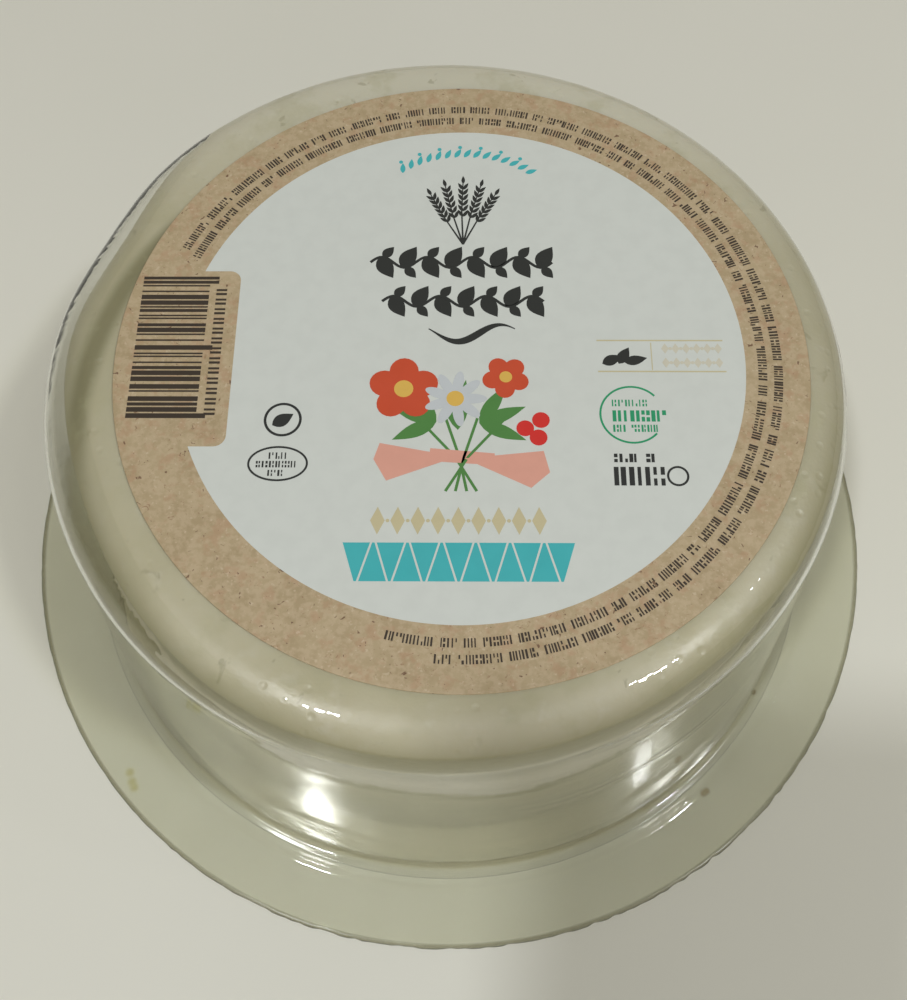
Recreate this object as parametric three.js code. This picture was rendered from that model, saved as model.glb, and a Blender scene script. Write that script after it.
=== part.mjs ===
// A round fresh cheese in its clear, film-sealed tub, standing upside down on the tub's wide flange.
// Millimetres, +Z up. The origin is on the axis, in the plane the film rests on.
import * as THREE from 'three';

// Driving dimensions
const FLANGE_RADIUS = 59;
const FLANGE_THICKNESS = 0.7;
const FOOT_RADIUS = 49.2; // outside of the wall, where it meets the flange
const DRAFT = THREE.MathUtils.degToRad(5.66); // lean of the wall, which narrows upwards
const PANEL_TOP = 45.7; // outer face of the flat panel that carries the label
const SHOULDER_RADIUS = 5.2; // outside curve between the wall and the panel
const WALL = 0.5;
const FOOT_FILLET = 0.7;
const SEAL_BEAD = { radius: 51.4, halfWidth: 0.9, height: 0.25 };

const FILM_THICKNESS = 0.2;
const FILM_INSET = 0.1;

const LABEL_RADIUS = 38.2;
const LABEL_THICKNESS = 0.2;
const LABEL_OFFSET = { x: 1.8, y: 0.1 }; // stuck on a little off centre

const CHEESE_RADIUS = 44; // straight side, clear of the leaning wall
const CHEESE_BOTTOM_FILLET = 1.6;
const WHEY_LEVEL = 3.4;

const FACE_GAP = 0.05; // between flat faces that lie on each other
const FIT_GAP = 0.3; // between curved faces that follow each other
const TURN_SEGMENTS = 72;

// The wall is pushed in a little on the left, and the cheese's top edge is worn back along that side.
const DENT = { azimuth: 160, spread: 8, depth: 0.8, low: 15, high: 41, inner: 34, outer: 42 };
const WORN_EDGES = [
  { azimuth: 159, spread: 11, depth: 2.2 },
  { azimuth: 205, spread: 22, depth: 2.2 },
];
const WORN_LOW = 24;

// Derived heights and the shoulder's centre
const filmTop = FILM_THICKNESS;
const flangeBottom = filmTop + FACE_GAP;
const flangeTop = flangeBottom + FLANGE_THICKNESS;
const shoulderZ = PANEL_TOP - SHOULDER_RADIUS;
const shoulderR = wallRadius(shoulderZ) - SHOULDER_RADIUS / Math.cos(DRAFT);

/** Radius of the wall's outer face at height z. */
function wallRadius(z) {
  return FOOT_RADIUS - (z - flangeTop) * Math.tan(DRAFT);
}

/** Radius of the wall's inner face at height z. */
function innerWallRadius(z) {
  return wallRadius(z) - WALL / Math.cos(DRAFT);
}

function point(r, z) {
  return new THREE.Vector2(r, z);
}

/** Points on an arc about (r, z), from one angle to another, in radians from the outward direction. */
function arc(r, z, radius, from, to, steps) {
  const points = [];
  for (let i = 0; i <= steps; i += 1) {
    const angle = from + ((to - from) * i) / steps;
    points.push(point(r + radius * Math.cos(angle), z + radius * Math.sin(angle)));
  }
  return points;
}

/** A profile turned about the Z axis. The profile runs with the material on its left. */
function turned(profile) {
  const geometry = new THREE.LatheGeometry(profile, TURN_SEGMENTS);
  geometry.rotateX(Math.PI / 2);
  return geometry;
}

/** Moves each vertex towards the axis by inset(azimuth in degrees, r, z). */
function pushIn(geometry, inset) {
  const position = geometry.getAttribute('position');
  for (let i = 0; i < position.count; i += 1) {
    const x = position.getX(i);
    const y = position.getY(i);
    const r = Math.hypot(x, y);
    if (r > 0) {
      const azimuth = THREE.MathUtils.radToDeg(Math.atan2(y, x));
      const scale = (r - inset(azimuth, r, position.getZ(i))) / r;
      position.setX(i, x * scale);
      position.setY(i, y * scale);
    }
  }
  geometry.computeVertexNormals();
  return geometry;
}

/** A smooth bump around one azimuth, 1 at its middle. */
function bump(azimuth, middle, spread) {
  const away = THREE.MathUtils.euclideanModulo(azimuth - middle + 180, 360) - 180;
  return Math.exp(-0.5 * (away / spread) ** 2);
}

function dentInset(azimuth, r, z) {
  const rise = THREE.MathUtils.smoothstep(z, DENT.low, DENT.high);
  const reach = THREE.MathUtils.smoothstep(r, DENT.inner, DENT.outer);
  return DENT.depth * rise * reach * bump(azimuth, DENT.azimuth, DENT.spread);
}

function wornInset(azimuth, r, z) {
  const rise = THREE.MathUtils.smoothstep(z, WORN_LOW, shoulderZ);
  const worn = WORN_EDGES.reduce((sum, e) => sum + e.depth * bump(azimuth, e.azimuth, e.spread), 0);
  return (worn * rise * r) / CHEESE_RADIUS;
}

/** One thermoformed sheet: panel, rounded shoulder, leaning wall, foot and flange, open at the bottom. */
function tubGeometry() {
  const quarter = Math.PI / 2;
  const innerShoulder = arc(shoulderR, shoulderZ, SHOULDER_RADIUS - WALL, quarter, DRAFT, 5);
  const outerShoulder = arc(shoulderR, shoulderZ, SHOULDER_RADIUS, DRAFT, quarter, 6);
  const wallHeights = [15, 29];
  const innerWall = [...wallHeights].reverse().map((z) => point(innerWallRadius(z), z));
  const outerWall = wallHeights.map((z) => point(wallRadius(z), z));

  const footZ = flangeTop + FOOT_FILLET;
  const footR = wallRadius(footZ) + FOOT_FILLET / Math.cos(DRAFT);
  const foot = arc(footR, footZ, FOOT_FILLET, -quarter, -2 * quarter + DRAFT, 2);
  const innerFootRadius = FOOT_FILLET + WALL;
  const innerFootZ = flangeBottom + innerFootRadius;
  const innerFootR = innerWallRadius(innerFootZ) + innerFootRadius / Math.cos(DRAFT);
  const innerFoot = arc(innerFootR, innerFootZ, innerFootRadius, -2 * quarter + DRAFT, -quarter, 3);

  const edge = FLANGE_THICKNESS / 2;
  const rim = arc(FLANGE_RADIUS - edge, flangeBottom + edge, edge, -quarter, quarter, 3);
  const bead = [
    point(SEAL_BEAD.radius + SEAL_BEAD.halfWidth, flangeTop),
    point(SEAL_BEAD.radius, flangeTop + SEAL_BEAD.height),
    point(SEAL_BEAD.radius - SEAL_BEAD.halfWidth, flangeTop),
  ];
  const profile = [
    point(0, PANEL_TOP - WALL),
    point(DENT.inner, PANEL_TOP - WALL),
    ...innerShoulder,
    ...innerWall,
    ...innerFoot,
    ...rim,
    ...bead,
    ...foot,
    ...outerWall,
    ...outerShoulder,
    point(DENT.inner, PANEL_TOP),
    point(0, PANEL_TOP),
  ];
  return pushIn(turned(profile), dentInset);
}

/** The cheese: a straight-sided round that fits the tub's shoulder and stands clear of its wall. */
function cheeseGeometry() {
  const bottom = filmTop + FACE_GAP;
  const corner = CHEESE_BOTTOM_FILLET;
  const topRadius = SHOULDER_RADIUS - WALL - FIT_GAP;
  const contact = Math.acos((CHEESE_RADIUS - shoulderR) / topRadius); // where its side meets the shoulder
  const profile = [
    point(0, bottom),
    ...arc(CHEESE_RADIUS - corner, bottom + corner, corner, -Math.PI / 2, 0, 3),
    point(CHEESE_RADIUS, WORN_LOW),
    point(CHEESE_RADIUS, 33),
    ...arc(shoulderR, shoulderZ, topRadius, contact, Math.PI / 2, 4),
    point(DENT.inner, shoulderZ + topRadius),
    point(0, shoulderZ + topRadius),
  ];
  return pushIn(turned(profile), wornInset);
}

/** A shallow ring of whey, standing on the film between the cheese's foot and the wall. */
function wheyGeometry() {
  const bottom = filmTop + FACE_GAP;
  const inside = CHEESE_RADIUS + FIT_GAP;
  const profile = [
    point(inside, bottom),
    point(innerWallRadius(bottom) - FIT_GAP, bottom),
    point(innerWallRadius(WHEY_LEVEL) - FIT_GAP, WHEY_LEVEL),
    point(inside, WHEY_LEVEL),
    point(inside, bottom),
  ];
  return turned(profile);
}

/** A flat round sheet with its lower face at z = bottom. */
function sheetGeometry(radius, bottom, thickness) {
  const top = bottom + thickness;
  return turned([point(0, bottom), point(radius, bottom), point(radius, top), point(0, top)]);
}

function addPiece(group, name, geometry, material) {
  const mesh = new THREE.Mesh(geometry, new THREE.MeshStandardMaterial(material));
  mesh.name = name;
  group.add(mesh);
  return mesh;
}

const part = new THREE.Group();
part.name = 'fresh_cheese_in_tub';

addPiece(part, 'lid_film', sheetGeometry(FLANGE_RADIUS - FILM_INSET, 0, FILM_THICKNESS), {
  color: 0xe6e8de, roughness: 0.2, metalness: 0, transparent: true, opacity: 0.35,
});
addPiece(part, 'tub', tubGeometry(), {
  color: 0xdfe4dc, roughness: 0.08, metalness: 0, transparent: true, opacity: 0.3,
});
addPiece(part, 'cheese', cheeseGeometry(), { color: 0xe6dfc0, roughness: 0.45, metalness: 0 });
addPiece(part, 'whey', wheyGeometry(), {
  color: 0xc9c48a, roughness: 0.05, metalness: 0, transparent: true, opacity: 0.4,
});
const label = addPiece(part, 'label', sheetGeometry(LABEL_RADIUS, 0, LABEL_THICKNESS), {
  color: 0xe9e6da, roughness: 0.55, metalness: 0,
});
label.position.set(LABEL_OFFSET.x, LABEL_OFFSET.y, PANEL_TOP + FACE_GAP);

export default part;
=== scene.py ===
"""A round fresh cheese sealed in a clear plastic tub, standing upside down on the tub's wide flange."""
import math
import random

import bmesh
import bpy
import numpy as np
from mathutils import Matrix, Vector


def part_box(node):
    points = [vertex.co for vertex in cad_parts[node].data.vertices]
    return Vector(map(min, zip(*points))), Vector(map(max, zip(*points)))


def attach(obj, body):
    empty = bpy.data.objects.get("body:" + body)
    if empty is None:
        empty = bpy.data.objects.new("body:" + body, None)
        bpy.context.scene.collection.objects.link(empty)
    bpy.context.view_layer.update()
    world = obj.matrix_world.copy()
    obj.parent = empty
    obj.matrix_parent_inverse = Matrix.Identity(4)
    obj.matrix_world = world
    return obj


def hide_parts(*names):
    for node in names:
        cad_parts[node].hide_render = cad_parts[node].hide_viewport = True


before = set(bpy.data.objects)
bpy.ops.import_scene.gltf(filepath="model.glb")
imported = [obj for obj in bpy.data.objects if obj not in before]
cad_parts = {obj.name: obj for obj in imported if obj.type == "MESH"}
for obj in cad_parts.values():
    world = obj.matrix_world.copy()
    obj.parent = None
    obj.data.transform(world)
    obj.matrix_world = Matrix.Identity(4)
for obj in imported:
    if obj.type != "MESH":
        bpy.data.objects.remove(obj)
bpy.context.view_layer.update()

MM = 0.001
TAU = math.tau

# ---------------------------------------------------------------------------
# Sizes, in millimetres. The overall ones come from the frame.
# ---------------------------------------------------------------------------
tub_low, tub_high = (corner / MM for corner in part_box("tub"))
film_low, film_high = (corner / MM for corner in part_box("lid_film"))
label_low, label_high = (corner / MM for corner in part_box("label"))
whey_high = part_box("whey")[1] / MM

QUARTER = math.pi / 2
FLANGE_RADIUS = tub_high.x
FLANGE_THICKNESS = 0.7
FLANGE_BOTTOM = tub_low.z
FLANGE_TOP = FLANGE_BOTTOM + FLANGE_THICKNESS
PANEL_TOP = tub_high.z
WALL = 0.3  # the drawn sheet is thinner than the frame's
FOOT_RADIUS = 49.2
DRAFT = math.radians(5.66)
SHOULDER_RADIUS = 5.2
SHOULDER_Z = PANEL_TOP - SHOULDER_RADIUS
FOOT_FILLET = 0.7
BEAD_RADIUS = 51.4
BEAD_SPREAD = 0.45
BEAD_HEIGHT = 0.25
# The wall is pushed in a little on the left, and it has a faint crease at the front right
DENT = {"azimuth": 160, "spread": 8, "depth": 0.8, "low": 15, "high": 41, "inner": 34, "outer": 42}
CREASE = {"azimuth": 308, "spread": 16, "depth": 0.03, "height": 26.5, "width": 0.3}
TURNS = 400  # steps round the axis

CHEESE_RADIUS = 44.0
CHEESE_BOTTOM_FILLET = 1.6
CONTACT_DEPTH = 0.15  # how far the cheese reaches into the wall where it is wet against it
WORN_EDGES = ((159, 11, 2.2), (205, 22, 2.2), (312, 18, 0.3))  # azimuth, spread and depth of each
WORN_LOW = 24  # the cheese's top edge is worn back from this height upwards
WHEY_LEVEL = whey_high.z

LABEL_CENTRE = Vector(((label_low.x + label_high.x) / 2, (label_low.y + label_high.y) / 2))
LABEL_RADIUS = (label_high.x - label_low.x) / 2
PRINT_ROOM = 0.08  # for the layers of ink, within the label's height
LABEL_TOP = label_high.z - PRINT_ROOM


def wall_radius(z):
    """Radius of the wall's outer face at height z."""
    return FOOT_RADIUS - (z - FLANGE_TOP) * math.tan(DRAFT)


def inner_wall_radius(z):
    """Radius of the wall's inner face at height z."""
    return wall_radius(z) - WALL / math.cos(DRAFT)


# Centres of the curves at the shoulder and inside the foot
SHOULDER_R = wall_radius(SHOULDER_Z) - SHOULDER_RADIUS / math.cos(DRAFT)
INNER_FILLET = FOOT_FILLET + WALL
INNER_FOOT_Z = FLANGE_BOTTOM + INNER_FILLET
INNER_FOOT_R = inner_wall_radius(INNER_FOOT_Z) + INNER_FILLET / math.cos(DRAFT)

FIT_RADIUS = SHOULDER_RADIUS - CONTACT_DEPTH
CHEESE_CONTACT = math.acos((CHEESE_RADIUS - SHOULDER_R) / FIT_RADIUS)  # where its side leaves the tub


# ---------------------------------------------------------------------------
# Mesh helpers
# ---------------------------------------------------------------------------
def add_piece(name, mesh, material, replaced=()):
    """Puts a mesh, in row-frame metres, on the root body."""
    piece = bpy.data.objects.new(name, mesh)
    bpy.context.scene.collection.objects.link(piece)
    mesh.materials.append(material)
    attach(piece, "root")
    for node in replaced:
        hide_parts(node)
    return piece


def mesh_from(name, points, faces, smooth=True):
    """A mesh from points in millimetres, with its faces turned outwards."""
    mesh = bpy.data.meshes.new(name)
    mesh.from_pydata([tuple(MM * c for c in p) for p in points], [], faces)
    bm = bmesh.new()
    bm.from_mesh(mesh)
    bmesh.ops.recalc_face_normals(bm, faces=bm.faces)
    bm.to_mesh(mesh)
    bm.free()
    mesh.polygons.foreach_set("use_smooth", [smooth] * len(mesh.polygons))
    return mesh


def turned(name, profile, shape=None):
    """A profile of (r, z) points turned about Z. It ends on the axis twice, or closes on itself.

    shape(azimuth, r, z), in degrees and millimetres, gives the moved r and z.
    """
    azimuth = np.arange(TURNS) * 360 / TURNS
    points, rings = [], []
    for r, z in profile:
        on_axis = r < 1e-6
        count = 1 if on_axis else TURNS
        angles = azimuth[:count]
        radii, heights = np.full(count, float(r)), np.full(count, float(z))
        if shape is not None and not on_axis:
            radii, heights = shape(angles, radii, heights)
        rings.append(range(len(points), len(points) + count))
        turn = np.radians(angles)
        points.extend(zip(radii * np.cos(turn), radii * np.sin(turn), heights))
    faces = []
    closed = len(rings[0]) > 1
    following = rings[1:] + rings[:1] if closed else rings[1:]
    for a, b in zip(rings, following):
        for i in range(TURNS):
            j = (i + 1) % TURNS
            if len(a) == 1:
                faces.append((a[0], b[j], b[i]))
            elif len(b) == 1:
                faces.append((a[i], a[j], b[0]))
            else:
                faces.append((a[i], a[j], b[j], b[i]))
    return mesh_from(name, points, faces)


def arc(r, z, radius, start, end, steps):
    """Points on an arc about (r, z), with angles in radians from the outward direction."""
    angles = np.linspace(start, end, steps + 1)
    return [(r + radius * math.cos(a), z + radius * math.sin(a)) for a in angles]


def line(start, end, steps):
    """Points from start to end, without the end."""
    return [
        (start[0] + (end[0] - start[0]) * i / steps, start[1] + (end[1] - start[1]) * i / steps)
        for i in range(steps)
    ]


def smoothstep(x, low, high):
    """0 up to low and 1 from high on, with a smooth climb between them."""
    t = np.clip((x - low) / (high - low), 0, 1)
    return t * t * (3 - 2 * t)


def bump(azimuth, middle, spread):
    """1 at one azimuth, falling off smoothly on both sides."""
    away = (azimuth - middle + 180) % 360 - 180
    return np.exp(-0.5 * (away / spread) ** 2)


class Ripple:
    """A smooth seeded unevenness over azimuth and height, about -1 to 1."""

    def __init__(self, seed, waves, most_turns, most_rise):
        draw = random.Random(seed)
        self.waves = [
            (draw.randint(1, most_turns), draw.uniform(-most_rise, most_rise), draw.uniform(0, TAU))
            for _ in range(waves)
        ]

    def __call__(self, azimuth, height):
        total = sum(np.sin(n * np.radians(azimuth) + k * height + p) for n, k, p in self.waves)
        return total / math.sqrt(len(self.waves))


# ---------------------------------------------------------------------------
# Material helpers
# ---------------------------------------------------------------------------
class Nodes:
    """Short calls for building one material's node tree. Its lengths are in metres."""

    def __init__(self, name):
        self.material = bpy.data.materials.new(name)
        self.material.use_nodes = True
        self.tree = self.material.node_tree
        self.tree.nodes.clear()
        self.output = self.add("ShaderNodeOutputMaterial")
        self.position = self.add("ShaderNodeTexCoord").outputs["Object"]

    def add(self, kind, **values):
        node = self.tree.nodes.new(kind)
        for key, value in values.items():
            setattr(node, key, value)
        return node

    def put(self, socket, value):
        """Links a socket to the value where that is a socket too, or else sets it."""
        if isinstance(value, bpy.types.NodeSocket):
            self.tree.links.new(value, socket)
        else:
            socket.default_value = value

    def noise(self, scale, detail=3.0, roughness=0.5, where=None, distortion=0.0):
        node = self.add("ShaderNodeTexNoise")
        self.put(node.inputs["Vector"], where or self.position)
        node.inputs["Scale"].default_value = scale
        node.inputs["Detail"].default_value = detail
        node.inputs["Roughness"].default_value = roughness
        node.inputs["Distortion"].default_value = distortion
        return node.outputs["Fac"]

    def voronoi(self, scale):
        node = self.add("ShaderNodeTexVoronoi")
        self.put(node.inputs["Vector"], self.position)
        node.inputs["Scale"].default_value = scale
        return node.outputs["Distance"]

    def math(self, operation, a, b=0.0, c=0.0):
        node = self.add("ShaderNodeMath", operation=operation)
        for socket, value in zip(node.inputs, (a, b, c)):
            self.put(socket, value)
        return node.outputs[0]

    def product(self, value, *others):
        for other in others:
            value = self.math("MULTIPLY", value, other)
        return value

    def ramp(self, value, low, high, start=0.0, end=1.0):
        """value from low..high taken smoothly to start..end."""
        node = self.add("ShaderNodeMapRange", interpolation_type="SMOOTHSTEP")
        for socket, v in zip(node.inputs, (value, low, high, start, end)):
            self.put(socket, v)
        return node.outputs[0]

    def mix(self, factor, a, b):
        node = self.add("ShaderNodeMix", data_type="RGBA")
        for socket, value in zip((node.inputs[0], node.inputs[6], node.inputs[7]), (factor, a, b)):
            self.put(socket, value)
        return node.outputs[2]

    def layered(self, colour, layers):
        """A colour with others laid over it in turn. Each layer is a factor and a colour."""
        for factor, over in layers:
            colour = self.mix(factor, colour, over)
        return colour

    def stretched(self, x, y, z):
        """The position with each axis scaled."""
        node = self.add("ShaderNodeMapping")
        self.put(node.inputs["Vector"], self.position)
        node.inputs["Scale"].default_value = (x, y, z)
        return node.outputs[0]

    def axes(self):
        """The position's x, y and z."""
        node = self.add("ShaderNodeSeparateXYZ")
        self.put(node.inputs[0], self.position)
        return tuple(node.outputs)

    def combined(self, *parts):
        """A vector from its x, y and z."""
        node = self.add("ShaderNodeCombineXYZ")
        for socket, value in zip(node.inputs, parts):
            self.put(socket, value)
        return node.outputs[0]

    def radius(self):
        """Distance from the Z axis."""
        squares = (self.math("POWER", axis, 2.0) for axis in self.axes()[:2])
        return self.math("SQRT", self.math("ADD", *squares))

    def spot(self, place, size):
        """1 at a place and 0 from size away, both in millimetres."""
        node = self.add("ShaderNodeVectorMath", operation="DISTANCE")
        self.put(node.inputs[0], self.position)
        node.inputs[1].default_value = tuple(MM * c for c in place)
        return self.ramp(node.outputs["Value"], 0.25 * size * MM, size * MM, 1, 0)

    def bump(self, height, strength, distance):
        node = self.add("ShaderNodeBump")
        node.inputs["Strength"].default_value = strength
        node.inputs["Distance"].default_value = distance
        self.put(node.inputs["Height"], height)
        return node.outputs[0]

    def principled(self, inputs):
        """The main shader, with its inputs by name."""
        node = self.add("ShaderNodeBsdfPrincipled")
        for key, value in inputs.items():
            self.put(node.inputs[key], value)
        return node.outputs[0]

    def shadow_clear(self, shader, tint):
        """Lets lamps and diffuse light straight through, tinted, instead of tracing caustics."""
        path = self.add("ShaderNodeLightPath")
        factor = self.math("MAXIMUM", path.outputs["Is Shadow Ray"], path.outputs["Is Diffuse Ray"])
        clear = self.add("ShaderNodeBsdfTransparent")
        clear.inputs["Color"].default_value = tint
        node = self.add("ShaderNodeMixShader")
        for socket, value in zip(node.inputs, (factor, shader, clear.outputs[0])):
            self.put(socket, value)
        return node.outputs[0]

    def absorb(self, colour, density):
        """Tints light by how far it goes through the material, so its edges look darker."""
        node = self.add("ShaderNodeVolumeAbsorption")
        node.inputs["Color"].default_value = colour
        node.inputs["Density"].default_value = density
        self.put(self.output.inputs["Volume"], node.outputs[0])

    def done(self, shader):
        self.put(self.output.inputs["Surface"], shader)
        return self.material


def rgb(red, green, blue):
    """Linear colour from 0-255 display values."""

    def linear(value):
        value /= 255
        return value / 12.92 if value <= 0.04045 else ((value + 0.055) / 1.055) ** 2.4

    return (linear(red), linear(green), linear(blue), 1.0)


# Small marks in the clear plastic, by their places in millimetres
DIMPLES = (
    (-2.8, -40.4, 43.5),
    (-5.0, -41.5, 42.5),
    (8.3, -39.8, 43.5),
    (-11.2, -39.5, 43.0),
    (-8.6, -40.4, 43.0),
)
WHEY_STAINS = ((-40.1, -39.4, 0.95), (-39.6, -40.6, 0.95), (-39.2, -41.3, 0.95))
DARK_SPECKS = ((35.8, -37.8, 0.95), (42.9, -23.8, 0.95), (36.2, -37.5, 0.95))


def clear_plastic():
    """Clear sheet with an uneven shoulder, a dull cut edge with a painted dark line, and small stains
    on its flange.
    """
    n = Nodes("clear_plastic")
    x, y, z = n.axes()
    radius = n.radius()
    # Facets that run along the shoulder, dimples in it, and low waves everywhere
    ahead, aside = (n.math("DIVIDE", axis, radius) for axis in (x, y))
    facets = n.noise(15, 2, where=n.combined(ahead, aside, n.math("MULTIPLY", z, 20.0)))
    shoulder = n.product(n.ramp(radius, 0.036, 0.039), n.ramp(z, 0.0433, 0.0448))
    waves = n.noise(160, 2, where=n.stretched(1, 1, 3))
    height = n.math("MULTIPLY_ADD", waves, 0.06, n.product(facets, shoulder))
    for place in DIMPLES:
        height = n.math("MULTIPLY_ADD", n.spot(place, 0.6), -0.9, height)
    # The cut edge is dull and gets a painted dark line, standing in for the light its rounded edge
    # loses; the lower wall is a little less glossy than the panel
    cut_edge = n.ramp(radius, 0.0582, 0.0586)
    drawn = n.product(n.ramp(radius, 0.0445, 0.0455), n.ramp(radius, 0.0499, 0.0506, 1, 0))
    drawn = n.product(drawn, n.ramp(z, 0.036, 0.04, 1, 0))
    roughness = n.ramp(n.noise(120, 4), 0.3, 0.75, 0.012, 0.03)
    roughness = n.math("MULTIPLY_ADD", cut_edge, 0.22, roughness)
    # The cut edge's darker colour is painted shade for the light its rounded edge loses
    layers = [(cut_edge, (0.56, 0.55, 0.47, 1))]
    layers += [(n.spot(place, 0.9), (0.8, 0.75, 0.4, 1)) for place in WHEY_STAINS]
    layers += [(n.spot(place, 0.7), (0.5, 0.4, 0.28, 1)) for place in DARK_SPECKS]
    shader = n.principled({
        "Base Color": n.layered((0.975, 0.98, 0.965, 1), layers),
        "Roughness": n.math("MULTIPLY_ADD", drawn, 0.03, roughness),
        "IOR": 1.5,
        "Transmission Weight": 1.0,
        "Normal": n.bump(height, 1.0, 0.0001),
    })
    n.absorb((0.59, 0.55, 0.3, 1), 150)
    return n.done(n.shadow_clear(shader, (0.965, 0.967, 0.945, 1)))


def sealing_film():
    """Clear film with slight wrinkles."""
    n = Nodes("sealing_film")
    shader = n.principled({
        "Base Color": (0.945, 0.95, 0.915, 1),
        "Roughness": n.ramp(n.noise(200, 3), 0.3, 0.7, 0.08, 0.16),
        "IOR": 1.45,
        "Transmission Weight": 1.0,
        "Normal": n.bump(n.noise(60, 3), 0.1, 0.0005),
    })
    return n.done(n.shadow_clear(shader, (0.97, 0.97, 0.95, 1)))


def whey_liquid():
    """Olive-yellow liquid, clear where it is thin."""
    n = Nodes("whey")
    shader = n.principled({
        "Base Color": (0.98, 0.98, 0.965, 1),
        "Roughness": n.ramp(n.noise(90, 2), 0.3, 0.7, 0.05, 0.1),
        "IOR": 1.34,
        "Transmission Weight": 1.0,
    })
    n.absorb((0.56, 0.5, 0.26, 1), 190)
    return n.done(n.shadow_clear(shader, (0.97, 0.97, 0.96, 1)))


def fresh_cheese():
    """Moist curd: cream with chalky and darker patches, and painted light: shade at the sides, under
    the shoulder at the front and low down, a shadow along the worn edge, and a sheen at the back.
    """
    n = Nodes("fresh_cheese")
    x, y, z = n.axes()
    radius = n.radius()
    off_middle = n.math("ABSOLUTE", x)
    broad = n.noise(60, 4, 0.55)
    fine = n.noise(420, 3, 0.6)
    patches = n.ramp(n.noise(190, 4, 0.6), 0.5, 0.68, 0, 0.4)
    blots = n.ramp(n.noise(330, 3, 0.6, distortion=0.6), 0.64, 0.7, 0, 0.5)
    rim = n.ramp(radius, 0.0385, 0.0415, 0.4, 0.0)
    # Painted shade on the cheese's left and right sides
    sides_shade = n.ramp(off_middle, 0.025, 0.045, 0.0, 0.6)
    # Painted sheen of reflected light towards the back
    back_sheen = n.ramp(y, 0.015, 0.042, 0.0, 0.9)
    # A painted shadow of the worn top edge: a dark streak running from under the label out to the
    # shoulder
    away = n.math("MULTIPLY_ADD", y, 0.184, n.math("SUBTRACT", radius, 0.0387))
    worn_edge_shadow = n.ramp(n.math("ABSOLUTE", away), 0.0003, 0.0021, 0.85, 0.0)
    worn_edge_shadow = n.product(worn_edge_shadow, n.ramp(x, -0.034, -0.03, 1, 0), n.ramp(y, -0.02, -0.009))
    # Painted shade in bands on the side: under the shoulder at the front, and low down all round
    shoulder_shade = n.product(n.ramp(z, 0.03, 0.035), n.ramp(z, 0.043, 0.0456, 0.8, 0))
    shoulder_shade = n.product(shoulder_shade, n.ramp(y, -0.01, 0.01, 1, 0))
    low = n.product(n.ramp(z, 0.012, 0.036, 0.9, 0.0), n.ramp(off_middle, 0.006, 0.02, 1, 0.5))
    layers = (
        (n.ramp(broad, 0.35, 0.65), rgb(210, 204, 180)),
        (n.ramp(fine, 0.55, 0.75, 0, 0.6), rgb(216, 211, 194)),
        (rim, rgb(192, 185, 150)),
        (sides_shade, rgb(176, 171, 143)),
        (back_sheen, rgb(216, 213, 196)),
        (worn_edge_shadow, rgb(132, 128, 94)),
        (patches, rgb(186, 182, 148)),
        (blots, rgb(160, 154, 124)),
        (shoulder_shade, rgb(152, 147, 112)),
        (low, rgb(158, 154, 124)),
    )
    pores = n.ramp(n.voronoi(450), 0.05, 0.25)
    height = n.math("ADD", n.product(pores, 0.6), fine)
    shader = n.principled({
        "Base Color": n.layered(rgb(201, 195, 167), layers),
        "Roughness": n.ramp(broad, 0.3, 0.7, 0.3, 0.5),
        "Subsurface Weight": 0.15,
        "Subsurface Radius": (0.004, 0.003, 0.002),
        "Subsurface Scale": 1.0,
        "Normal": n.bump(height, 0.25, 0.0004),
    })
    return n.done(shader)


def kraft_paper():
    """Brown paper: cloudy pulp with reddish and pale flecks, dark fibres and grit."""
    n = Nodes("kraft_paper")
    pulp = n.noise(1300, 3, 0.65)
    layers = (
        (n.ramp(n.noise(260, 5, 0.6), 0.3, 0.7), rgb(190, 171, 135)),
        (n.ramp(pulp, 0.38, 0.62, 0, 0.55), rgb(205, 185, 152)),
        (n.ramp(n.noise(620, 3, 0.6), 0.5, 0.68, 0, 0.5), rgb(185, 148, 115)),
        (n.ramp(n.noise(2100, 2, 0.6), 0.62, 0.72, 0, 0.45), rgb(220, 204, 174)),
        (n.ramp(n.noise(1000, 3, 0.7, distortion=2.2), 0.64, 0.69, 0, 0.7), rgb(150, 114, 84)),
        (n.ramp(n.noise(1500, 2, 0.5, distortion=0.8), 0.69, 0.73, 0, 0.85), rgb(110, 78, 56)),
    )
    shader = n.principled({
        "Base Color": n.layered(rgb(177, 157, 121), layers),
        "Roughness": 0.55,
        "Normal": n.bump(pulp, 0.15, 0.0001),
    })
    return n.done(shader)


def printed(name, colour):
    """Satin ink on paper, very slightly uneven."""
    n = Nodes(name)
    darker = tuple(0.97 * c for c in colour[:3]) + (1.0,)
    uneven = n.ramp(n.noise(500, 3), 0.35, 0.7)
    shader = n.principled({
        "Base Color": n.mix(uneven, colour, darker),
        "Roughness": n.ramp(n.noise(300, 2), 0.3, 0.7, 0.42, 0.52),
    })
    return n.done(shader)


def floor_material():
    """Matt off-white, faintly cloudy, with a fine grain."""
    n = Nodes("floor")
    tone = n.ramp(n.noise(9, 3), 0.3, 0.7)
    shader = n.principled({
        "Base Color": n.mix(tone, (0.85, 0.845, 0.745, 1), (0.875, 0.87, 0.775, 1)),
        "Roughness": 0.6,
        "Normal": n.bump(n.noise(700, 2), 0.04, 0.0002),
    })
    return n.done(shader)


# ---------------------------------------------------------------------------
# The tub, its film and what is inside
# ---------------------------------------------------------------------------
wall_ripple = Ripple(3, 9, 14, 0.16)
flange_ripple = Ripple(5, 7, 9, 0.3)
shoulder_ripple = Ripple(8, 14, 70, 2.0)
WALL_WAVE, FLANGE_WAVE, SHOULDER_WAVE = 0.05, 0.03, 0.009  # how high each of these goes


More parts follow.
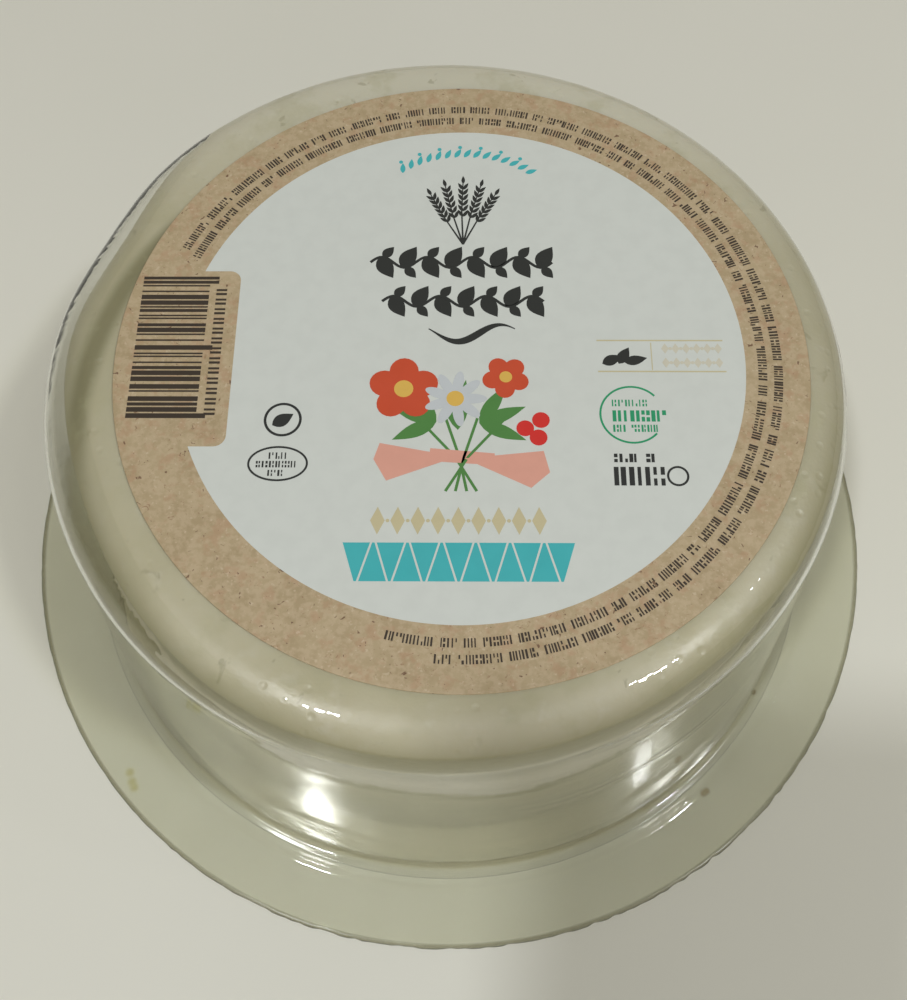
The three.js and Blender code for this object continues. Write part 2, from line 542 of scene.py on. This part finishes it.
def dent(azimuth, r, z):
    """How far the wall is pushed in, as in the frame."""
    rise = smoothstep(z, DENT["low"], DENT["high"])
    reach = smoothstep(r, DENT["inner"], DENT["outer"])
    return DENT["depth"] * rise * reach * bump(azimuth, DENT["azimuth"], DENT["spread"])


def crease(azimuth, z):
    """How far the wall's crease goes in."""
    groove = np.exp(-(((z - CREASE["height"]) / CREASE["width"]) ** 2))
    return CREASE["depth"] * groove * bump(azimuth, CREASE["azimuth"], CREASE["spread"])


def edge_nicks():
    """How far the cut edge of the flange is out of true at each step round it."""
    draw = random.Random(11)
    rough = np.array([draw.gauss(0, 1) for _ in range(TURNS)])
    azimuth = np.arange(TURNS) * 360 / TURNS
    jagged = 0.035 + 0.09 * bump(azimuth, 305, 22) + 0.05 * bump(azimuth, 255, 14)
    return np.clip(rough, -1.6, 0.4) * jagged


nicks = edge_nicks()


def tub_shape(azimuth, r, z):
    """Dent, crease, slow waves in the wall, shoulder and flange, and the rough cut edge."""
    on_wall = smoothstep(z, 3, 8) * (1 - smoothstep(z, 38, 43))
    on_shoulder = smoothstep(z, 39, 42) * smoothstep(r, 36, 39)
    low = z < 2
    on_flange = smoothstep(r, 50.5, 54) * low * (z > FLANGE_BOTTOM + 0.3)
    at_edge = smoothstep(r, FLANGE_RADIUS - 0.45, FLANGE_RADIUS - 0.1) * low
    waves = WALL_WAVE * wall_ripple(azimuth, z) * on_wall
    waves = waves + SHOULDER_WAVE * shoulder_ripple(azimuth, r) * on_shoulder
    moved = r - dent(azimuth, r, z) + waves - crease(azimuth, z) + at_edge * nicks
    return moved, z - FLANGE_WAVE * (1 + flange_ripple(azimuth, r)) * on_flange


def tub_profile():
    """One sheet: inside from the panel to the flange, round the cut edge, and back up outside."""
    foot_z = FLANGE_TOP + FOOT_FILLET
    foot_r = wall_radius(foot_z) + FOOT_FILLET / math.cos(DRAFT)
    edge = FLANGE_THICKNESS / 2
    rim = FLANGE_RADIUS - edge
    inside = line((0, PANEL_TOP - WALL), (SHOULDER_R, PANEL_TOP - WALL), 12)
    inside += arc(SHOULDER_R, SHOULDER_Z, SHOULDER_RADIUS - WALL, QUARTER, DRAFT, 18)
    high, low = SHOULDER_Z - 0.5, INNER_FOOT_Z + 1
    inside += line((inner_wall_radius(high), high), (inner_wall_radius(low), low), 36)
    inside += arc(INNER_FOOT_R, INNER_FOOT_Z, INNER_FILLET, DRAFT - math.pi, -QUARTER, 8)
    inside += line((INNER_FOOT_R + 0.8, FLANGE_BOTTOM), (rim - 0.1, FLANGE_BOTTOM), 6)
    outside = arc(rim, FLANGE_BOTTOM + edge, edge, -QUARTER, QUARTER, 10)
    steps = 40
    for i in range(1, steps):
        r = rim - (rim - foot_r) * i / steps
        bead = BEAD_HEIGHT * math.exp(-(((r - BEAD_RADIUS) / BEAD_SPREAD) ** 2))
        outside.append((r, FLANGE_TOP + bead))
    outside += arc(foot_r, foot_z, FOOT_FILLET, -QUARTER, DRAFT - math.pi, 8)
    low, high = foot_z + 0.6, SHOULDER_Z - 0.4
    outside += line((wall_radius(low), low), (wall_radius(high), high), 72)
    outside += arc(SHOULDER_R, SHOULDER_Z, SHOULDER_RADIUS, DRAFT, QUARTER, 26)
    outside += line((SHOULDER_R - 1, PANEL_TOP), (0, PANEL_TOP), 10)
    return inside + outside + [(0, PANEL_TOP)]


cheese_ripple = Ripple(21, 14, 30, 0.5)
cheese_grain = Ripple(22, 30, 60, 1.6)


def cheese_shape(azimuth, r, z):
    """The worn top edge at the left, and an uneven, slightly pitted side."""
    rise = smoothstep(z, WORN_LOW, SHOULDER_Z)
    worn = sum(depth * bump(azimuth, middle, spread) for middle, spread, depth in WORN_EDGES)
    free = smoothstep(r, 40, 43) * smoothstep(z, 2, 6) * (1 - smoothstep(z, 40, 43))
    uneven = free * (0.12 * cheese_ripple(azimuth, z) + 0.02 * cheese_grain(azimuth, z) - 0.05)
    return r - worn * rise * r / CHEESE_RADIUS + uneven, z


def cheese_profile():
    """Bottom, rounded corner, straight side, the curve that fits the shoulder, and the top."""
    bottom, top = FLANGE_BOTTOM, PANEL_TOP - CONTACT_DEPTH
    corner = CHEESE_BOTTOM_FILLET
    side_top = SHOULDER_Z + FIT_RADIUS * math.sin(CHEESE_CONTACT) - 0.3
    profile = line((0, bottom), (CHEESE_RADIUS - corner, bottom), 6)
    profile += arc(CHEESE_RADIUS - corner, bottom + corner, corner, -QUARTER, 0, 6)
    profile += line((CHEESE_RADIUS, bottom + corner + 0.5), (CHEESE_RADIUS, side_top), 70)
    profile += arc(SHOULDER_R, SHOULDER_Z, FIT_RADIUS, CHEESE_CONTACT, QUARTER, 18)
    profile += line((SHOULDER_R - 1, top), (0, top), 8)
    return profile + [(0, top)]


def whey_profile():
    """The ring of whey, reaching just into the cheese, the film and the wall with its curved foot."""
    bottom = FLANGE_BOTTOM - 0.02
    inside = CHEESE_RADIUS - 0.3
    reach = 0.08  # into the tub's sheet
    wedge = 0.6  # it thins out over this length under the flange
    hold = 0.04  # rings this close to the tip keep the wedge's shading flat
    climb = 0.5  # how far it rises against the cheese and the wall
    tip, top = INNER_FOOT_R + wedge, FLANGE_BOTTOM + reach
    profile = [(inside, bottom)]
    profile += line((inside + 1, bottom), (tip - hold, bottom), 6)
    profile += [(tip - hold, bottom), (tip, bottom)]
    profile += line((tip - hold, bottom + hold * (top - bottom) / wedge), (INNER_FOOT_R, top), 6)
    profile += arc(INNER_FOOT_R, INNER_FOOT_Z, INNER_FILLET - reach, -QUARTER, DRAFT - math.pi, 8)
    low = (inner_wall_radius(INNER_FOOT_Z + 0.3) + reach, INNER_FOOT_Z + 0.3)
    high = (inner_wall_radius(WHEY_LEVEL) + reach, WHEY_LEVEL + climb)
    profile += line(low, high, 14)
    steps = 16
    for i in range(steps + 1):
        t = i / steps
        rise = climb * (math.exp(-t * 9) + math.exp(-(1 - t) * 9))
        profile.append((inside + (high[0] - inside) * (1 - t), WHEY_LEVEL + rise))
    return profile


def disc_profile(radius, low, high, steps=6):
    """A flat disc with a rounded edge."""
    edge = (high - low) / 2
    profile = line((0, low), (radius - edge, low), steps)
    profile += arc(radius - edge, low + edge, edge, -QUARTER, QUARTER, 6)
    profile += line((radius - edge - 0.3, high), (0, high), steps)
    return profile + [(0, high)]


def film_shape(azimuth, r, z):
    """The film's edge follows the flange's, a hair inside it."""
    edge = smoothstep(r, FLANGE_RADIUS - 1.5, FLANGE_RADIUS - 0.2)
    return r + edge * (nicks * 0.8 - 0.05), z


def turned_piece(name, profile, shape, material, node):
    """A turned mesh that stands for one node of the frame."""
    return add_piece(name, turned(name, profile, shape), material, [node])


film_profile = disc_profile(film_high.x, film_low.z + 0.02, film_high.z)
turned_piece("tub_shell", tub_profile(), tub_shape, clear_plastic(), "tub")
turned_piece("cheese_round", cheese_profile(), cheese_shape, fresh_cheese(), "cheese")
turned_piece("whey_ring", whey_profile(), None, whey_liquid(), "whey")
turned_piece("sealing_film", film_profile, film_shape, sealing_film(), "lid_film")

# ---------------------------------------------------------------------------
# The label and its print. Outlines are in millimetres, in the print's own frame:
# centred on the label, and turned a little with it.
# ---------------------------------------------------------------------------
PRINT_TURN = 3  # degrees
INK = 0.016  # height of one printed layer above the one below
INK_ROOT = 0.01  # how far the ink goes into the paper
OVERPRINT = 0.0008  # keeps shapes of one ink that overlap from sharing a plane
OVERPRINT_STEPS = 16
WHITE_RADIUS = 31.2
TAB = {"right": -25.05, "top": 10.95, "bottom": -11.45, "corner": 1.3}


def placed(points, x, y, turn):
    """Points turned by an angle in degrees, then moved by x and y."""
    c, s = math.cos(math.radians(turn)), math.sin(math.radians(turn))
    return [(x + c * u - s * v, y + s * u + c * v) for u, v in points]


def printed_piece(name, outlines, layer, material):
    """All outlines of one ink, as thin closed plates in one mesh."""
    low = LABEL_TOP - INK_ROOT
    points, faces = [], []
    for number, outline in enumerate(outlines):
        high = LABEL_TOP + layer * INK + (number % OVERPRINT_STEPS) * OVERPRINT
        first, count = len(points), len(outline)
        flat = placed(outline, LABEL_CENTRE.x, LABEL_CENTRE.y, PRINT_TURN)
        points += [(x, y, low) for x, y in flat] + [(x, y, high) for x, y in flat]
        faces.append(tuple(first + count + i for i in range(count)))
        faces.append(tuple(first + i for i in reversed(range(count))))
        for i in range(count):
            j = (i + 1) % count
            faces.append((first + i, first + j, first + count + j, first + count + i))
    mesh = mesh_from(name, points, faces, smooth=False)
    bm = bmesh.new()
    bm.from_mesh(mesh)
    bmesh.ops.triangulate(bm, faces=[f for f in bm.faces if len(f.verts) > 4])
    bm.to_mesh(mesh)
    bm.free()
    return add_piece(name, mesh, material)


def polar(radius, degrees, centre=(0, 0)):
    """The point at a radius and an azimuth about a centre."""
    a = math.radians(degrees)
    return centre[0] + radius * math.cos(a), centre[1] + radius * math.sin(a)


def box(x0, y0, x1, y1):
    return [(x0, y0), (x1, y0), (x1, y1), (x0, y1)]


def ellipse(x, y, rx, ry, turn=0.0, steps=20):
    angles = [TAU * i / steps for i in range(steps)]
    return placed([(rx * math.cos(a), ry * math.sin(a)) for a in angles], x, y, turn)


def stroke(points, widths):
    """An open line with a width at each point, or one width for all."""
    if isinstance(widths, (int, float)):
        widths = [widths] * len(points)
    left, right = [], []
    for i, (x, y) in enumerate(points):
        ax, ay = points[max(i - 1, 0)]
        bx, by = points[min(i + 1, len(points) - 1)]
        length = math.hypot(bx - ax, by - ay)
        nx, ny = -(by - ay) / length, (bx - ax) / length
        half = widths[i] / 2
        left.append((x + nx * half, y + ny * half))
        right.append((x - nx * half, y - ny * half))
    return left + right[::-1]


def ring(x, y, rx, ry, width, start=0, end=360):
    """Part of an elliptical line, as two strokes so that neither closes on itself."""
    middle = (start + end) / 2
    parts = []
    for a, b in ((start, middle), (middle, end)):
        angles = np.radians(np.linspace(a, b, 25))
        parts.append(stroke([(x + rx * math.cos(t), y + ry * math.sin(t)) for t in angles], width))
    return parts


def leaf(x, y, length, width, turn):
    """A pointed leaf that starts at (x, y) and runs along turn, in degrees."""
    steps = [i / 8 for i in range(9)]
    edge = [(length * t, width / 2 * math.sin(math.pi * t**0.8)) for t in steps]
    return placed(edge + [(u, -v) for u, v in edge[-2:0:-1]], x, y, turn)


def ticks(place, length, height, draw, stroke_width=0.15, pitch=0.33):
    """A row of small upright marks in groups of random length, some of them in two halves.

    place(u, v) takes a distance along the row and a height over it to a print point.
    """
    outlines, u = [], 0.0
    while u < length:
        for _ in range(draw.randint(4, 14)):
            if u > length:
                break
            width = stroke_width * draw.uniform(0.8, 1.5)
            low, high = draw.choice(((0, 1), (0, 1), (0, 1), (0, 0.42), (0.58, 1)))
            corners = ((u, low), (u + width, low), (u + width, high), (u, high))
            outlines.append([place(a, b * height) for a, b in corners])
            if (low, high) != (0, 1) and draw.random() < 0.7:
                a, b = (0.62, 1) if high < 1 else (0, 0.38)
                corners = ((u, a), (u + width, a), (u + width, b), (u, b))
                outlines.append([place(p, q * height) for p, q in corners])
            u += pitch * draw.uniform(0.85, 1.2)
        u += pitch * 1.7
    return outlines


def straight(x, y):
    """A row that runs to the right from (x, y)."""
    return lambda u, v: (x + u, y + v)


def round_row(radius, start):
    """A row that runs clockwise on a circle from an azimuth in degrees, read from outside."""
    return lambda u, v: polar(radius + v, start - math.degrees(u / radius))


def white_field():
    """The white disc without the tab that the bar pattern stands on."""
    corner = TAB["corner"]
    top_angle = 180 - math.degrees(math.asin(TAB["top"] / WHITE_RADIUS))
    bottom_angle = 180 + math.degrees(math.asin(-TAB["bottom"] / WHITE_RADIUS)) - 360
    outline = [polar(WHITE_RADIUS, a) for a in np.linspace(bottom_angle, top_angle, 150)]
    for y, start in ((TAB["top"] - corner, 90), (TAB["bottom"] + corner, 0)):
        centre = (TAB["right"] - corner, y)
        outline += [polar(corner, a, centre) for a in np.linspace(start, start - 90, 7)]
    return [outline]


def bar_pattern(draw):
    """Plain bars of random width, a few of them longer, and a column of small marks."""
    outlines, module = [], 0.19
    top, bottom = 10.2, -7.9
    y = top
    while y > bottom:
        width = module * draw.choice((1, 1, 2, 2, 3))
        longer = y > top - 1.0 or y < bottom + 1.0 or abs(y - 1.2) < 0.5
        outlines.append(box(-36.1, y - width, -27.5 if longer else -28.5, y))
        y -= width + module * draw.choice((1, 1, 2, 2, 3))
    y = 8.6
    while y > -7.4:
        outlines.append(box(-27.7, y - 0.9, -26.5, y - 0.62))
        outlines.append(box(-27.7, y - 0.35, -26.5, y - 0.1))
        y -= 1.28
    return outlines


def wheat_ear(x, y, turn, length):
    """A stem with paired grains at its end."""
    grains, grain, grain_width = 6, 1.15, 0.42
    middle, end = (polar(length * 0.5, turn + 2, (x, y)), polar(length, turn, (x, y)))
    outlines = [stroke([(x, y), middle, end], [0.22, 0.16, 0.12])]
    for i in range(grains):
        base = polar(length * (0.42 + 0.5 * i / grains), turn, (x, y))
        for side in (-1, 1):
            outlines.append(leaf(*base, grain, grain_width, turn + side * 32))
    outlines.append(leaf(*polar(length * 0.93, turn, (x, y)), grain, grain_width, turn))
    return outlines


def sprig_row(x0, x1, y, height, count):
    """A bold leafy row: a wavy stem with leaves to both sides."""

    def stem_at(t):
        return x0 + (x1 - x0) * t, y + 0.16 * height * math.sin(TAU * count / 2 * t)

    steps = 60
    outlines = [stroke([stem_at(i / steps) for i in range(steps + 1)], 0.34)]
    for i in range(count):
        x, base_y = stem_at((i + 0.35) / count)
        side = 1 if i % 2 else -1
        outlines.append(leaf(x, base_y, height * 0.72, height * 0.42, side * 58))
        outlines.append(leaf(x + 0.5, base_y, height * 0.42, height * 0.26, -side * 50))
        outlines.append(ellipse(x + 1.0, base_y + side * height * 0.2, 0.26, 0.26))
    return outlines


def flourish():
    """A drawn line in a double curve, thick in its middle."""
    steps = [i / 40 for i in range(41)]
    points = [(-3.6 + 9.6 * t, 2.7 + 1.1 * math.sin(TAU * t + 2.6)) for t in steps]
    widths = [0.12 + 0.75 * math.sin(math.pi * t) ** 1.5 for t in steps]
    return [stroke(points, widths)]


def flower(x, y, radius, petals, start, fullness):
    """Round petals about a middle."""
    outlines = []
    half_length = radius * 0.46
    half_width = half_length * fullness * math.pi / petals
    for i in range(petals):
        a = start + 360 * i / petals
        outlines.append(ellipse(*polar(radius * 0.58, a, (x, y)), half_length, half_width, a))
    return outlines


def zigzag(x0, x1, low, high, count):
    """Narrow triangles with blunt tips that point up and down in turn."""
    outlines, step, blunt = [], (x1 - x0) / count, 0.12
    for i in range(count):
        middle, half = x0 + step * (i + 0.5), step * 0.8
        foot, tip = (low, high) if i % 2 else (high, low)
        base = [(middle - half, foot), (middle + half, foot)]
        outlines.append(base + [(middle + blunt, tip), (middle - blunt, tip)])
    return outlines


def lozenges(x0, x1, y, height, count):
    """A row of lozenges with a dot between each two."""
    outlines, step = [], (x1 - x0) / count
    for i in range(count):
        x, half = x0 + step * (i + 0.5), step * 0.36
        outlines.append([(x - half, y), (x, y - height / 2), (x + half, y), (x, y + height / 2)])
        if i:
            outlines.append(ellipse(x - step / 2, y, 0.2, 0.2, 0, 12))
    return outlines


def garland():
    """Small leaves on an arc, with a dot by every second one."""
    centre, radius, outlines = (0.3, 15.0), 12.4, []
    for i in range(15):
        a = 126 - 72 * i / 14
        base = polar(radius, a, centre)
        outlines.append(leaf(*base, 1.5, 0.62, a - 35))
        if i % 2:
            outlines.append(ellipse(*polar(radius + 1.5, a + 2, centre), 0.24, 0.24, 0, 12))
    return outlines


draw = random.Random(7)
dark_print = bar_pattern(draw)
for row_radius, row_start, row_sweep in ((34.25, 156, 251), (32.55, 157, 261)):
    row_length = math.radians(row_sweep) * row_radius
    dark_print += ticks(round_row(row_radius, row_start), row_length, 0.95, draw)

# Two leafy rows, a flourish and a fan of wheat ears, over small rings, leaves and rows of marks
black_print = sprig_row(-10.4, 10.4, 12.2, 4.6, 8)
black_print += sprig_row(-8.9, 9.3, 6.9, 4.4, 7)
black_print += flourish()
for fan_turn, fan_length in ((118, 8.6), (104, 9.2), (90, 9.4), (76, 9.2), (62, 8.6)):
    black_print += wheat_ear(0.2, 14.7, fan_turn, fan_length)
black_print += ring(-19.1, -8.2, 1.9, 1.9, 0.28)
black_print += [leaf(-20.2, -8.9, 2.6, 1.5, 32)]
black_print += ring(-19.3, -13.45, 3.1, 1.95, 0.22)
black_print += ticks(straight(-20.3, -12.9), 1.7, 0.75, draw)
black_print += ticks(straight(-21.6, -13.9), 4.2, 0.75, draw)
black_print += ticks(straight(-20.3, -14.9), 1.7, 0.7, draw)
black_print += [leaf(15.5, -1.2, 2.4, 1.3, 25), leaf(17.3, -1.2, 2.4, 1.3, 60)]
black_print += [leaf(17.9, -1.0, 2.6, 1.2, 12)]
black_print += ticks(straight(16.2, -13.2), 4.4, 1.0, draw, 0.3, 0.5)
black_print += ticks(straight(16.1, -15.9), 5.4, 2.15, draw, 0.42, 0.78)
black_print += ring(22.8, -14.8, 1.05, 1.05, 0.24)

teal_print = garland() + zigzag(-11.5, 11.2, -26.6, -22.4, 13)
beige_print = lozenges(-9.6, 9.2, -19.95, 3.1, 9)
beige_print += [box(15.0, 1.7, 28.9, 1.86), box(15.0, -2.25, 29.0, -2.09), box(20.9, -2.0, 21.0, 1.5)]
pale_print = lozenges(21.9, 28.9, 0.75, 1.3, 6) + lozenges(21.9, 28.9, -1.05, 1.3, 6)
green_print = ring(18.4, -7.5, 3.4, 3.4, 0.22, 42, 318)
green_print += ticks(straight(16.3, -6.5), 3.8, 0.8, draw)
green_print += ticks(straight(16.3, -8.35), 5.4, 1.35, draw, 0.34, 0.6)
green_print += ticks(straight(16.3, -9.6), 5.4, 0.85, draw)

# A small posy: two round red flowers, a white one, berries, leaves and a rose ribbon
RED_LEFT, RED_RIGHT, WHITE_FLOWER = (-6.2, -4.4), (4.9, -2.9), (-0.6, -5.6)
leaf_print = [leaf(-2.6, -8.4, 5.2, 1.7, a) for a in (205, 160, 128)]
leaf_print += [leaf(2.0, -8.6, 5.4, 1.6, a) for a in (-22, 22, 58)]
leaf_print += [leaf(-0.3, -9.4, 6.2, 1.5, a) for a in (82, 104)]
for stem_x in (-4.6, -1.6, 1.8, 4.8):
    stem = [(stem_x, -8.0), (0.1 + stem_x * 0.15, -12.6), (0.1 - stem_x * 0.35, -16.6)]
    leaf_print.append(stroke(stem, 0.3))
red_print = flower(*RED_LEFT, 3.7, 5, 18, 1.5) + flower(*RED_RIGHT, 2.5, 5, 50, 1.5)
white_print = flower(*WHITE_FLOWER, 3.3, 9, 0, 1.1)
berry_print = [ellipse(x, y, 0.95, 0.95) for x, y in ((6.9, -9.2), (8.6, -8.2), (8.3, -10.3))]
hearts = ((WHITE_FLOWER, 0.95), (RED_LEFT, 1.05), (RED_RIGHT, 0.7))
yellow_print = [ellipse(*place, size, size) for place, size in hearts]
rose_print = [
    [(-3.2, -11.6), (3.6, -12.2), (3.8, -13.6), (-3.4, -13.1)],
    [(-0.4, -12.6), (-7.8, -15.4), (-9.2, -12.9), (-8.6, -11.0)],
    [(0.4, -12.8), (7.4, -16.2), (9.4, -14.4), (8.8, -11.9)],
]

sheet_profile = disc_profile(LABEL_RADIUS, PANEL_TOP, LABEL_TOP, 8)
turned_piece("label_sheet", sheet_profile, None, kraft_paper(), "label")
label_shift = Vector((LABEL_CENTRE.x, LABEL_CENTRE.y, 0)) * MM
for vertex in bpy.data.meshes["label_sheet"].vertices:
    vertex.co += label_shift

INKS = (
    ("print_white", white_field(), 1, rgb(220, 225, 218)),
    ("print_dark", dark_print, 1.5, rgb(62, 52, 42)),
    ("print_black", black_print, 2, rgb(44, 47, 45)),
    ("print_teal", teal_print, 2, rgb(70, 188, 192)),
    ("print_beige", beige_print, 2, rgb(208, 198, 158)),
    ("print_pale", pale_print, 2, rgb(216, 212, 192)),
    ("print_green", green_print, 2, rgb(40, 158, 108)),
    ("print_leaf", leaf_print, 2, rgb(84, 140, 70)),
    ("print_rose", rose_print, 2.5, rgb(232, 170, 150)),
    ("print_red", red_print, 3, rgb(212, 82, 48)),
    ("print_berry", berry_print, 3, rgb(222, 50, 44)),
    ("print_petal", white_print, 3.5, rgb(206, 212, 214)),
    ("print_yellow", yellow_print, 4, rgb(232, 190, 90)),
)
for ink_name, ink_outlines, ink_layer, ink_colour in INKS:
    printed_piece(ink_name, ink_outlines, ink_layer, printed(ink_name, ink_colour))

# ---------------------------------------------------------------------------
# Floor, light and camera
# ---------------------------------------------------------------------------
FLOOR_DROP = 0.05 * MM  # how far the floor lies under the film
FLOOR_HALF = 1.6  # metres from its middle to a side
FLOOR_CORNERS = ((-1, -1), (1, -1), (1, 1), (-1, 1))
floor_points = [(FLOOR_HALF * x, FLOOR_HALF * y, -FLOOR_DROP) for x, y in FLOOR_CORNERS]
floor_mesh = bpy.data.meshes.new("floor")
floor_mesh.from_pydata(floor_points, [], [(0, 1, 2, 3)])
floor_mesh.materials.append(floor_material())
floor = bpy.data.objects.new("floor", floor_mesh)
bpy.context.scene.collection.objects.link(floor)


def sky(colour, horizon, overhead, ends):
    """Room light: horizon low down, overhead high up, and ends more towards the front and back."""
    world = bpy.data.worlds.new("sky")
    world.use_nodes = True
    tree = world.node_tree
    background = tree.nodes["Background"]
    background.inputs["Color"].default_value = colour
    axes = tree.nodes.new("ShaderNodeSeparateXYZ")
    tree.links.new(tree.nodes.new("ShaderNodeTexCoord").outputs["Generated"], axes.inputs[0])
    rise = tree.nodes.new("ShaderNodeMapRange")
    rise.interpolation_type = "SMOOTHSTEP"
    for key, value in (("From Min", 0.0), ("From Max", 0.8), ("To Min", horizon), ("To Max", overhead)):
        rise.inputs[key].default_value = value
    tree.links.new(axes.outputs[2], rise.inputs[0])
    square = tree.nodes.new("ShaderNodeMath")
    square.operation = "MULTIPLY"
    tree.links.new(axes.outputs[1], square.inputs[0])
    tree.links.new(axes.outputs[1], square.inputs[1])
    level = tree.nodes.new("ShaderNodeMath")
    level.operation = "MULTIPLY_ADD"
    level.inputs[1].default_value = ends
    tree.links.new(square.outputs[0], level.inputs[0])
    tree.links.new(rise.outputs[0], level.inputs[2])
    tree.links.new(level.outputs[0], background.inputs["Strength"])
    bpy.context.scene.world = world


LAMP_COLOUR = (1, 1.02, 1.07)


def lamp(name, place, size, radiance):
    """A round lamp at a place in millimetres, facing the object. size is in degrees across."""
    towards = Vector(place) * MM
    data = bpy.data.lights.new(name, "AREA")
    data.shape = "DISK"
    data.size = 2 * towards.length * math.tan(math.radians(size) / 2)
    data.energy = radiance * math.pi * math.pi * (data.size / 2) ** 2
    data.color = LAMP_COLOUR
    lamp_object = bpy.data.objects.new(name, data)
    lamp_object.location = towards
    lamp_object.rotation_mode = "QUATERNION"
    lamp_object.rotation_quaternion = towards.to_track_quat("Z", "Y")
    bpy.context.scene.collection.objects.link(lamp_object)


def flag(name, left, right, top, length, height):
    """A dark card over the near side that shades part of the floor. The camera doesn't see it."""
    lean = math.radians(24)
    reach, drop = length * math.cos(lean), length * math.sin(lean)
    corners = [(left, top, height), (right, top, height)]
    corners += [(right, top - reach, height - drop), (left, top - reach, height - drop)]
    mesh = bpy.data.meshes.new(name)
    mesh.from_pydata([tuple(MM * c for c in corner) for corner in corners], [], [(0, 1, 2, 3)])
    n = Nodes("flag_card")
    shader = n.principled({"Base Color": (0.08, 0.08, 0.08, 1), "Roughness": 0.6})
    mesh.materials.append(n.done(shader))
    card = bpy.data.objects.new(name, mesh)
    card.visible_camera = False
    bpy.context.scene.collection.objects.link(card)


sky((1.0, 0.94, 0.8, 1), 0.02, 0.14, 0.62)
lamp("lamp_left", (-158, -200, 600), 4.0, 200)
lamp("lamp_right", (314, -138, 600), 3.8, 175)
lamp("lamp_right_edge", (252, -128, 600), 2.4, 60)
lamp("lamp_far", (424, 45, 600), 1.0, 112)
flag("flag", -29, 12, -70, 36, 155)


def camera():
    """The photograph's camera: its place, in flange radii, its turns in radians, and its lens."""
    place = Vector((0.0939, -1.1236, 2.6277)) * (FLANGE_RADIUS * MM)
    pitch, yaw, roll = 1.1496, -0.0723, -0.0156
    focal_pixels, picture_height = 1150.0, 1000.0
    data = bpy.data.cameras.new("camera")
    data.sensor_width = 36
    data.lens = data.sensor_width * focal_pixels / picture_height
    data.clip_start, data.clip_end = 0.005, 20
    forward = Vector(
        (math.sin(yaw) * math.cos(pitch), math.cos(yaw) * math.cos(pitch), -math.sin(pitch))
    )
    level = Vector((math.cos(yaw), -math.sin(yaw), 0))
    upright = level.cross(forward)
    right = math.cos(roll) * level + math.sin(roll) * upright
    up = -math.sin(roll) * level + math.cos(roll) * upright
    turn = Matrix((right, up, -forward)).transposed().to_4x4()
    camera_object = bpy.data.objects.new("camera", data)
    camera_object.matrix_world = Matrix.Translation(place) @ turn
    bpy.context.scene.collection.objects.link(camera_object)
    bpy.context.scene.camera = camera_object


camera()
scene = bpy.context.scene
scene.view_settings.view_transform = "Standard"
